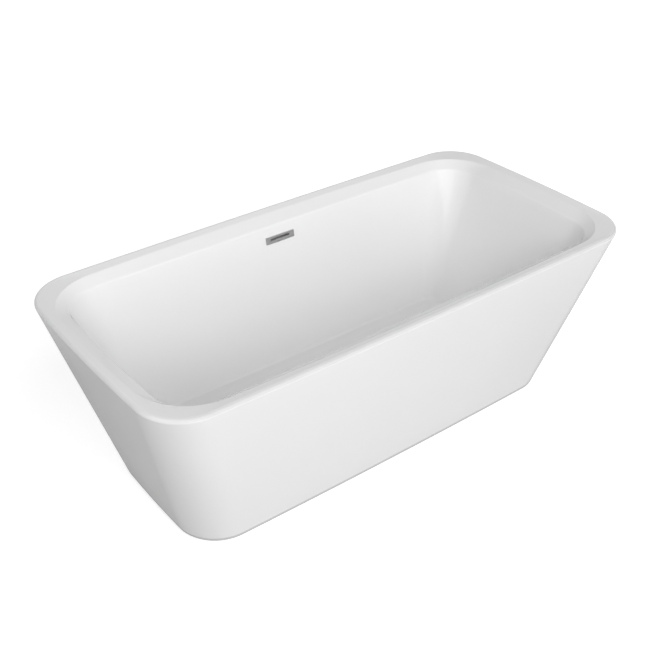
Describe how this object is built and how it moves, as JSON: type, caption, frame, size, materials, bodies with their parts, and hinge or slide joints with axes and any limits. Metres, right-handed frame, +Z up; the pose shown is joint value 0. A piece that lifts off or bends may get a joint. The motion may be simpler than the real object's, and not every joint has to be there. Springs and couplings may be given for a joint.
{
  "type": "freestanding bathtub",
  "caption": "Double-walled rectangular freestanding bathtub with sloping sides, rounded corners, slotted overflow, click stopper and levelling feet under a steel frame.",
  "frame": {"origin": "on the room floor, under the middle of the tub", "axes": "+X along the tub, +Y towards the wall with the overflow, +Z up"},
  "size_m": [1.6998, 0.8228, 0.588],
  "materials": {
    "white_acrylic": "high gloss",
    "galvanised_steel": "zinc spangle, matt",
    "zinc_plated_steel": "bright zinc plate",
    "black_nylon": "moulded",
    "chrome": "polished",
    "brass": "machined",
    "black_rubber": "matt",
    "white_pipe_plastic": "satin",
    "bonding_adhesive": "matt",
    "reinforcing_board": "raw board under resin"
  },
  "bodies": {
    "tub": {"basin_shell": "white_acrylic", "outer_skirt": "white_acrylic", "frame_rail_front": "galvanised_steel", "frame_rail_back": "galvanised_steel", "cross_member_1": "galvanised_steel", "cross_member_2": "galvanised_steel", "cross_member_3": "galvanised_steel", "cross_member_4": "galvanised_steel", "skirt_clip_front_1": "galvanised_steel", "skirt_clip_front_2": "galvanised_steel", "skirt_clip_back_1": "galvanised_steel", "skirt_clip_back_2": "galvanised_steel", "frame_bolts": "zinc_plated_steel", "frame_nuts": "zinc_plated_steel", "board_screws": "zinc_plated_steel", "foot_inserts": "zinc_plated_steel", "foot_locknuts": "zinc_plated_steel", "clip_screws": "zinc_plated_steel", "overflow_nuts": "zinc_plated_steel", "rail_end_caps": "black_nylon", "cross_end_caps": "black_nylon", "overflow_cover": "chrome", "drain_flange": "chrome", "stopper_sleeve": "brass", "overflow_gasket": "black_rubber", "cone_washers": "black_rubber", "drain_seal": "black_rubber", "drain_washer": "black_rubber", "overflow_body": "white_pipe_plastic", "overflow_pipe": "white_pipe_plastic", "overflow_elbow": "white_pipe_plastic", "drain_link_pipe": "white_pipe_plastic", "drain_body": "white_pipe_plastic", "tailpiece": "white_pipe_plastic", "overflow_union_nut": "white_pipe_plastic", "elbow_top_nut": "white_pipe_plastic", "elbow_link_nut": "white_pipe_plastic", "drain_link_nut": "white_pipe_plastic", "tailpiece_nut": "white_pipe_plastic", "rim_bond_bead": "bonding_adhesive", "floor_board": "reinforcing_board"},
    "foot_1": {"foot_pad_1": "black_nylon"},
    "foot_2": {"foot_pad_2": "black_nylon"},
    "foot_3": {"foot_pad_3": "black_nylon"},
    "foot_4": {"foot_pad_4": "black_nylon"},
    "foot_5": {"foot_pad_5": "black_nylon"},
    "foot_6": {"foot_pad_6": "black_nylon"},
    "stud_1": {"foot_stud_1": "zinc_plated_steel"},
    "stud_2": {"foot_stud_2": "zinc_plated_steel"},
    "stud_3": {"foot_stud_3": "zinc_plated_steel"},
    "stud_4": {"foot_stud_4": "zinc_plated_steel"},
    "stud_5": {"foot_stud_5": "zinc_plated_steel"},
    "stud_6": {"foot_stud_6": "zinc_plated_steel"},
    "stopper": {"stopper_cap": "chrome", "stopper_seal": "black_rubber", "stopper_stem": "brass"}
  },
  "joints": [
    {"name": "foot_1_level", "type": "slide", "parent": "tub", "child": "foot_1", "axis": [0, 0, -1], "range_m": [0, 0.015]},
    {"name": "foot_1_turn", "type": "hinge", "parent": "foot_1", "child": "stud_1", "pos_m": [-0.535, -0.165, 0.03], "axis": [0, 0, -1], "range_deg": [0, 3086]},
    {"name": "foot_2_level", "type": "slide", "parent": "tub", "child": "foot_2", "axis": [0, 0, -1], "range_m": [0, 0.015]},
    {"name": "foot_2_turn", "type": "hinge", "parent": "foot_2", "child": "stud_2", "pos_m": [0, -0.165, 0.03], "axis": [0, 0, -1], "range_deg": [0, 3086]},
    {"name": "foot_3_level", "type": "slide", "parent": "tub", "child": "foot_3", "axis": [0, 0, -1], "range_m": [0, 0.015]},
    {"name": "foot_3_turn", "type": "hinge", "parent": "foot_3", "child": "stud_3", "pos_m": [0.535, -0.165, 0.03], "axis": [0, 0, -1], "range_deg": [0, 3086]},
    {"name": "foot_4_level", "type": "slide", "parent": "tub", "child": "foot_4", "axis": [0, 0, -1], "range_m": [0, 0.015]},
    {"name": "foot_4_turn", "type": "hinge", "parent": "foot_4", "child": "stud_4", "pos_m": [-0.535, 0.165, 0.03], "axis": [0, 0, -1], "range_deg": [0, 3086]},
    {"name": "foot_5_level", "type": "slide", "parent": "tub", "child": "foot_5", "axis": [0, 0, -1], "range_m": [0, 0.015]},
    {"name": "foot_5_turn", "type": "hinge", "parent": "foot_5", "child": "stud_5", "pos_m": [0, 0.165, 0.03], "axis": [0, 0, -1], "range_deg": [0, 3086]},
    {"name": "foot_6_level", "type": "slide", "parent": "tub", "child": "foot_6", "axis": [0, 0, -1], "range_m": [0, 0.015]},
    {"name": "foot_6_turn", "type": "hinge", "parent": "foot_6", "child": "stud_6", "pos_m": [0.535, 0.165, 0.03], "axis": [0, 0, -1], "range_deg": [0, 3086]},
    {"name": "stopper_lift", "type": "slide", "parent": "tub", "child": "stopper", "axis": [0, 0, 1], "range_m": [0, 0.009]}
  ],
  "couplings": [
    {"joint": "foot_1_turn", "follows": "foot_1_level", "rad_per_m": 3590.4},
    {"joint": "foot_2_turn", "follows": "foot_2_level", "rad_per_m": 3590.4},
    {"joint": "foot_3_turn", "follows": "foot_3_level", "rad_per_m": 3590.4},
    {"joint": "foot_4_turn", "follows": "foot_4_level", "rad_per_m": 3590.4},
    {"joint": "foot_5_turn", "follows": "foot_5_level", "rad_per_m": 3590.4},
    {"joint": "foot_6_turn", "follows": "foot_6_level", "rad_per_m": 3590.4}
  ]
}
